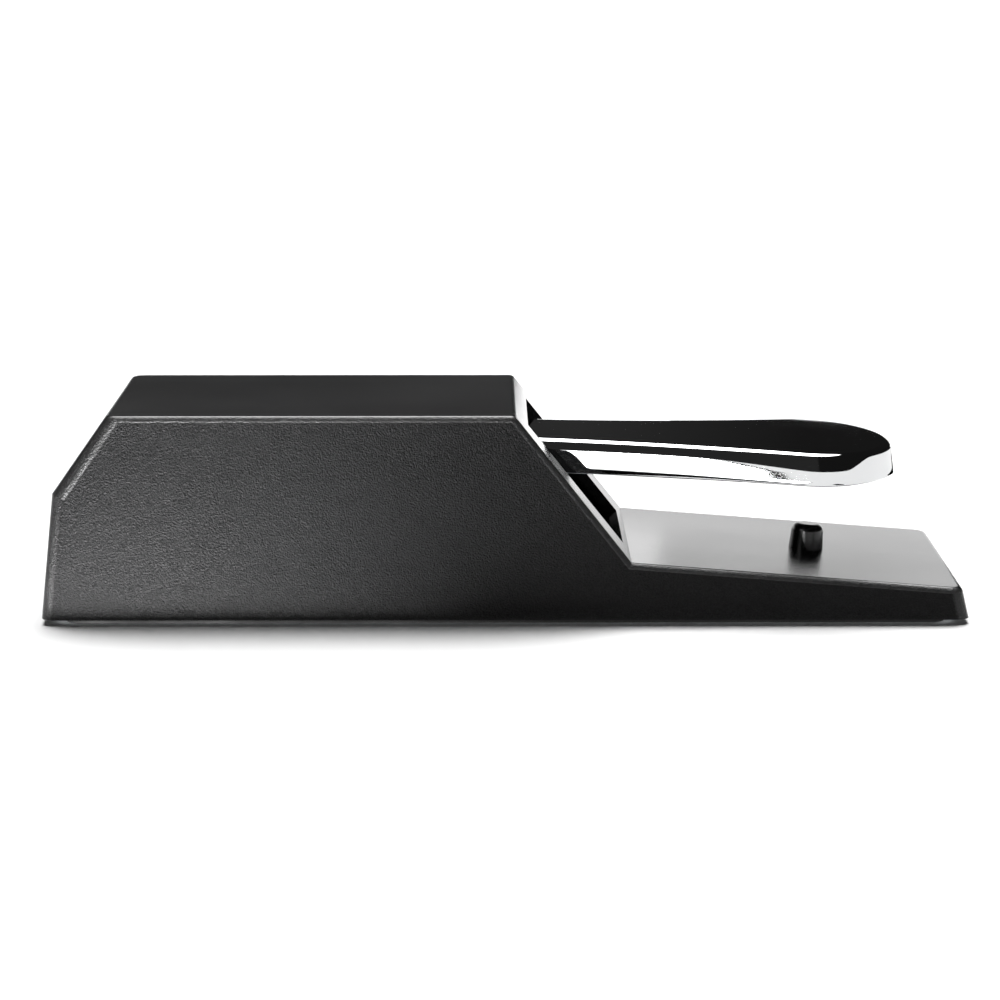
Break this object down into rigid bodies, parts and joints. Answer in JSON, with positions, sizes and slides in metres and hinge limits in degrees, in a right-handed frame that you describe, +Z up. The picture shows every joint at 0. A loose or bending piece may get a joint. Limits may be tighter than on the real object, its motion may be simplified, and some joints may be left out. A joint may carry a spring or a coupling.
{
  "type": "sustain pedal",
  "caption": "Piano-style sustain pedal: wedge-fronted black moulded housing on a low toe platform, with a hinged chromed lever, return spring, switch and rubber base.",
  "frame": {"origin": "middle of the resting face, under the rubber mat", "axes": "+X towards the toe end of the lever, +Y to the side, +Z up"},
  "size_m": [0.2586, 0.0898, 0.0582],
  "materials": {
    "moulded_black": "fine leather grain, low sheen",
    "lever_chrome": "polished",
    "core_plastic": "moulded, satin",
    "bumper_rubber": "moulded, slightly glossy",
    "mat_rubber": "matt, fine texture",
    "zinc_steel": "zinc plated",
    "screw_steel": "zinc plated",
    "shaft_steel": "ground",
    "spring_steel": "oiled spring steel",
    "cup_plastic": "natural acetal",
    "pad_rubber": "soft, matt",
    "switch_plastic": "moulded",
    "switch_metal": "tinned",
    "contact_brass": "tinned brass",
    "plunger_plastic": "moulded",
    "knob_plastic": "moulded"
  },
  "bodies": {
    "base": {"housing": "moulded_black", "base_plate": "zinc_steel", "rubber_mat": "mat_rubber", "base_screws": "screw_steel", "bracket_bolts": "screw_steel", "bracket_nuts": "screw_steel", "pivot_bracket": "zinc_steel", "pivot_shaft": "shaft_steel", "shaft_clips": "spring_steel", "return_spring": "spring_steel", "spring_cup": "cup_plastic", "upper_stop_pad": "pad_rubber", "bumper_post": "bumper_rubber", "bumper_washer": "spring_steel", "microswitch_case": "switch_plastic", "microswitch_terminals": "contact_brass", "microswitch_screws": "screw_steel", "switch_stand": "zinc_steel", "polarity_case": "switch_metal", "polarity_screws": "screw_steel", "cord_grommet": "bumper_rubber"},
    "lever": {"lever": "lever_chrome", "lever_core": "core_plastic", "pivot_bush_far": "cup_plastic", "pivot_bush_near": "cup_plastic"},
    "switch_leaf": {"microswitch_leaf": "spring_steel"},
    "switch_plunger": {"microswitch_plunger": "plunger_plastic"},
    "polarity_slider": {"polarity_knob": "knob_plastic"}
  },
  "joints": [
    {"name": "lever_pivot", "type": "hinge", "parent": "base", "child": "lever", "pos_m": [-0.092, 0, 0.041], "axis": [0, 1, 0], "range_deg": [0, 5.2], "stiffness_Nm_per_rad": 15, "springref_deg": -9.17, "deforming": ["return_spring"]},
    {"name": "leaf_pivot", "type": "hinge", "parent": "base", "child": "switch_leaf", "pos_m": [-0.065, 0.009, 0.0368], "axis": [0, 1, 0], "range_deg": [0, 14]},
    {"name": "plunger_slide", "type": "slide", "parent": "base", "child": "switch_plunger", "axis": [0, 0, -1], "range_m": [0, 0.0012]},
    {"name": "polarity_slide", "type": "slide", "parent": "base", "child": "polarity_slider", "axis": [1, 0, 0], "range_m": [0, 0.003]}
  ],
  "couplings": [
    {"joint": "leaf_pivot", "follows": "lever_pivot", "ratio": 2.56},
    {"joint": "plunger_slide", "follows": "lever_pivot", "m_per_rad": 0.01157}
  ]
}
